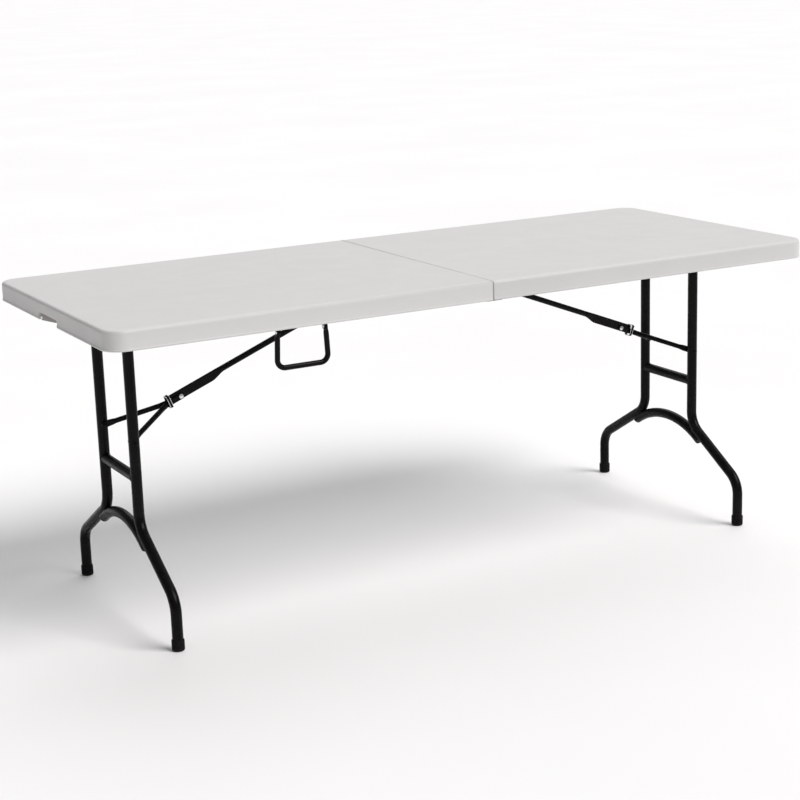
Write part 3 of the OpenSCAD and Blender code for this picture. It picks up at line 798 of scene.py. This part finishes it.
def laid(angle, x, y, out=0.0):
    """Point of the right brace: x down the line from the top pin, y above it, out to
    the front."""
    c, s = math.cos(angle), math.sin(angle)
    return Vector((PIN.x + x * c + y * s, -out, PIN.z - x * s + y * c))


def brace_bar():
    """Tube from the top bracket, pressed flat and deeper below towards the knee."""
    corners = [laid(TUBE_A, BAR_START, 0), laid(TUBE_A, BAR_END, 0)]
    up = laid(TUBE_A, 0, 1) - laid(TUBE_A, 0, 0)
    half = (FLAT_TOP + FLAT_LOW) / 2
    drop = (FLAT_TOP - FLAT_LOW) / 2

    def section(s):
        x = BAR_START + s
        t = eased(x, FLAT_FROM, FLAT_AT)
        tip = 1 - 0.16 * eased(x, BAR_END - 3 * MM, BAR_END) ** 2
        dome = math.sqrt(max(0.04, 1 - max(0.0, 1 - s / (3 * MM)) ** 2))
        tall = mixed(BAR_R, half, t) * tip * dome
        thick = mixed(BAR_R, 2 * MM, eased(x, FLAT_FROM, FLAT_AT - 6 * MM)) * dome
        return tall, thick, mixed(2.0, 5.0, t), mixed(0.0, drop, t)

    extra = [FLAT_FROM - BAR_START + (FLAT_AT - FLAT_FROM) * i / 16 for i in range(17)]
    extra += [0.4 * MM, 1 * MM, 2 * MM, 3 * MM]
    extra += [BAR_END - BAR_START - d * MM for d in (0.6, 1.4, 2.2, 3.0)]
    return swept(Route(corners, 0.0, up), section, extra, 40)


def yoke_rod():
    """Front rod of the yoke: flat at the knee, round between, an eye at the leg."""
    eye_out = UPRIGHT_Y - TUBE_R - 3.5 * MM
    bend_at = ROD_FROM - (ROD_FROM_OUT - PLATE_OUT) / ROD_SLOPE
    eye_at = bend_at + (eye_out - PLATE_OUT) / ROD_SLOPE
    path = [(-PLATE_R, PLATE_OUT), (bend_at, PLATE_OUT), (eye_at, eye_out),
            (YOKE_L + EYE_R, eye_out)]
    corners = [laid(LINE_A, BAR_L + s, 0, out) for s, out in path]
    up = laid(LINE_A, 0, 1) - laid(LINE_A, 0, 0)
    route = Route(corners, 14 * MM, up, 8)
    whole = route.length
    eye_from = whole - 36 * MM

    def section(s):
        near = PLATE_R - s
        far = s - (whole - EYE_R)
        to_round = eased(s, 40 * MM, 64 * MM)
        to_eye = eased(s, eye_from, whole - 20 * MM)
        tall = mixed(mixed(PLATE_R, ROD_R, to_round), EYE_R, to_eye)
        if near > 0:
            tall = math.sqrt(max(0.2 * MM ** 2, PLATE_R ** 2 - near ** 2))
        if far > 0:
            tall = math.sqrt(max(0.2 * MM ** 2, EYE_R ** 2 - far ** 2))
        thick = mixed(mixed(2 * MM, ROD_R, to_round), 3 * MM, to_eye)
        square = mixed(mixed(6.0, 2.0, to_round), 6.0, to_eye)
        return tall, thick, square, 0.0

    extra = [i * 0.7 * MM for i in range(11)] + [(40 + 2 * i) * MM for i in range(13)]
    extra += [eye_from + i * 2 * MM for i in range(9)]
    extra += [whole - EYE_R + i * EYE_R / 10 for i in range(11)]
    return swept(route, section, [s for s in extra if 0 <= s <= whole], 32)


def lock_collar():
    """Stamped band round the flat bar and both yoke plates, with rolled rims."""
    half_w, half_h, corner = 9.5 * MM, 13.4 * MM, 4 * MM
    middle_y = (RING_TOP - RING_LOW) / 2
    outline = []
    right, top = half_w - corner, half_h - corner
    for cx, cy, start in ((right, top, 0), (-right, top, 90),
                          (-right, -top, 180), (right, -top, 270)):
        for i in range(9):
            a = math.radians(start + 90 * i / 8)
            outline.append((Vector((cx + corner * math.cos(a), cy + corner * math.sin(a))),
                            Vector((math.cos(a), math.sin(a)))))
    profile = [(0.0, -3.4), (0.15, -3.85), (0.9, -4.0), (1.7, -3.85), (1.85, -3.3), (1.6, -2.8),
               (1.4, -2.4), (1.4, 2.4), (1.6, 2.8), (1.85, 3.3), (1.7, 3.85), (0.9, 4.0),
               (0.15, 3.85), (0.0, 3.4)]
    rings = []
    for out, along in profile:
        ring = []
        for spot, away in outline:
            q = spot + away * out * MM
            ring.append(laid(TUBE_A, RING_AT + along * MM, middle_y + q.y, q.x))
        rings.append(ring)
    return skinned(rings, closed=True)


def brighten_rims(collar, mirror):
    """Gives the collar's two rolled rims their bare metal."""
    collar.data.materials.append(RIM)
    spot = laid(TUBE_A, RING_AT, 0)
    along = laid(TUBE_A, 1, 0) - laid(TUBE_A, 0, 0)
    for face in collar.data.polygons:
        middle = face.center.copy()
        middle.x *= mirror
        if abs((middle - spot).dot(along)) > RIM_FROM:
            face.material_index = 1


def make_braces():
    bar, rod, collar = brace_bar(), yoke_rod(), lock_collar()
    for name, sx in SIDES.items():
        def sided(data, sx=sx):
            return data if sx > 0 else flipped(data, 0)
        piece(name + "_brace_bar", sided(bar), name + "_bar", BLACK, [name + "_bar"])
        for end, sy in ENDS.items():
            node = f"{name}_yoke_{end}"
            data = rod if sy < 0 else flipped(rod, 1)
            piece(node + "_rod", sided(data), name + "_yoke", BLACK, [node])
        ring = piece(name + "_lock_collar", sided(collar), name + "_ring", BLACK,
                     [name + "_lock_ring"], math.radians(60))
        brighten_rims(ring, sx)


# ---- handle and the frame's own small parts ----

HANDLE_R = 6 * MM
HANDLE_EYE_R = 6.5 * MM
HANDLE_ARM = 57 * MM
HANDLE_BOTTOM = 61 * MM
HANDLE_BEND = 18 * MM


def make_handle():
    mid = centre("handle")
    top_z = centre("handle_pins").z + HANDLE_EYE_R
    low_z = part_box("handle")[0].z + HANDLE_R
    corners = [(mid.x - HANDLE_ARM, mid.y, top_z), (mid.x - HANDLE_BOTTOM, mid.y, low_z),
               (mid.x + HANDLE_BOTTOM, mid.y, low_z), (mid.x + HANDLE_ARM, mid.y, top_z)]
    route = Route(corners, HANDLE_BEND, (0, 1, 0))

    def section(s):
        from_end = min(s, route.length - s)
        flat = 1 - eased(from_end, 13 * MM, 24 * MM)
        wide = mixed(HANDLE_R, HANDLE_EYE_R, flat)
        if from_end < HANDLE_EYE_R:
            short = HANDLE_EYE_R - from_end
            wide = math.sqrt(max(0.2 * MM ** 2, HANDLE_EYE_R ** 2 - short ** 2))
        return wide, mixed(HANDLE_R, 3 * MM, flat), mixed(2.0, 5.0, flat), 0.0

    ends = [i * 0.9 * MM for i in range(7)] + [(13 + i * 1.4) * MM for i in range(9)]
    extra = ends + [route.length - e for e in ends]
    piece("handle_rod", swept(route, section, extra), "handle", BLACK, ["handle"])


def finish_cad_nodes():
    """The frame's own pieces that stay: material, and a small bevel on steel and latch."""
    slots = {row["node"]: row["material_slot"] for row in frame["record"]["subparts"]}
    # Moulded pieces that stay, such as the latch, take the plastic darkened as painted shade.
    looks = {"moulded_top": LATCH_PAINTED_SHADE, "black_frame": BLACK, "bright_hardware": ZINC,
             "lock_collar": BLACK, "foot_cap": RUBBER}
    for name, node in NODES.items():
        node.data.materials.clear()
        node.data.materials.append(looks[slots[name]])
        if slots[name] in ("black_frame", "moulded_top") and not node.hide_render:
            weld = node.modifiers.new("weld", "WELD")
            weld.merge_threshold = 0.00001
            edge = node.modifiers.new("edge", "BEVEL")
            edge.width = 0.0005
            edge.segments = 2
            edge.limit_method = "ANGLE"
            edge.angle_limit = math.radians(50)


# ---- floor, light and camera ----

def make_floor():
    s = Shader("floor_paper", Specular_IOR_Level=0.1)
    s.colour(s.blend(s.spread(s.noise(0.8, 3.0), 0.3, 0.7), (0.9, 0.9, 0.9), (0.92, 0.92, 0.92)))
    s.surface.inputs["Roughness"].default_value = 0.9
    reach = 120.0
    mesh = bpy.data.meshes.new("floor")
    corners = [(-reach, -reach, 0), (reach, -reach, 0), (reach, reach, 0), (-reach, reach, 0)]
    mesh.from_pydata(corners, [], [[0, 1, 2, 3]])
    floor = bpy.data.objects.new("floor", mesh)
    floor.data.materials.append(s.material)
    SCENE.collection.objects.link(floor)


def sky_panel(name, toward, strength, spread, colour):
    """A far, wide and soft lamp in the direction given."""
    lamp = bpy.data.lights.new(name, "SUN")
    lamp.energy, lamp.angle, lamp.color = strength, math.radians(spread), colour
    made = bpy.data.objects.new(name, lamp)
    made.rotation_euler = Vector(toward).to_track_quat("Z", "Y").to_euler()
    SCENE.collection.objects.link(made)


def make_light():
    world = bpy.data.worlds.new("studio")
    world.use_nodes = True
    world.node_tree.nodes["Background"].inputs["Color"].default_value = (1, 1, 1, 1)
    world.node_tree.nodes["Background"].inputs["Strength"].default_value = 0.22
    SCENE.world = world
    SCENE.view_settings.view_transform = "Standard"
    sky_panel("key", (0.5, -0.68, 0.95), 2.57, 35, (1.0, 0.98, 0.97))
    sky_panel("rim", (0.65, 0.75, 1.1), 1.2, 60, (0.985, 0.99, 1.0))


CAMERA_AT = (-2.1005, -3.7729, 1.4768)
CAMERA_TURN = (28.59, -14.141, -1.826)
CAMERA_LENS = 81.11


def make_camera():
    """The view of the table from its front left, a little above."""
    yaw, pitch, roll = (math.radians(a) for a in CAMERA_TURN)
    ahead = Vector((math.sin(yaw) * math.cos(pitch), math.cos(yaw) * math.cos(pitch),
                    math.sin(pitch)))
    right = ahead.cross(Vector((0, 0, 1))).normalized()
    up = right.cross(ahead)
    tilted = right * math.cos(roll) + up * math.sin(roll)
    upright = up * math.cos(roll) - right * math.sin(roll)
    turn = Matrix((tilted, upright, -ahead)).transposed()
    lens = bpy.data.cameras.new("camera")
    lens.sensor_width = 36.0
    lens.lens = CAMERA_LENS
    lens.clip_end = 500.0
    made = bpy.data.objects.new("camera", lens)
    made.matrix_world = Matrix.Translation(CAMERA_AT) @ turn.to_4x4()
    SCENE.collection.objects.link(made)
    SCENE.camera = made


make_tops()
make_leg_frames()
make_braces()
make_handle()
finish_cad_nodes()
make_floor()
make_light()
make_camera()
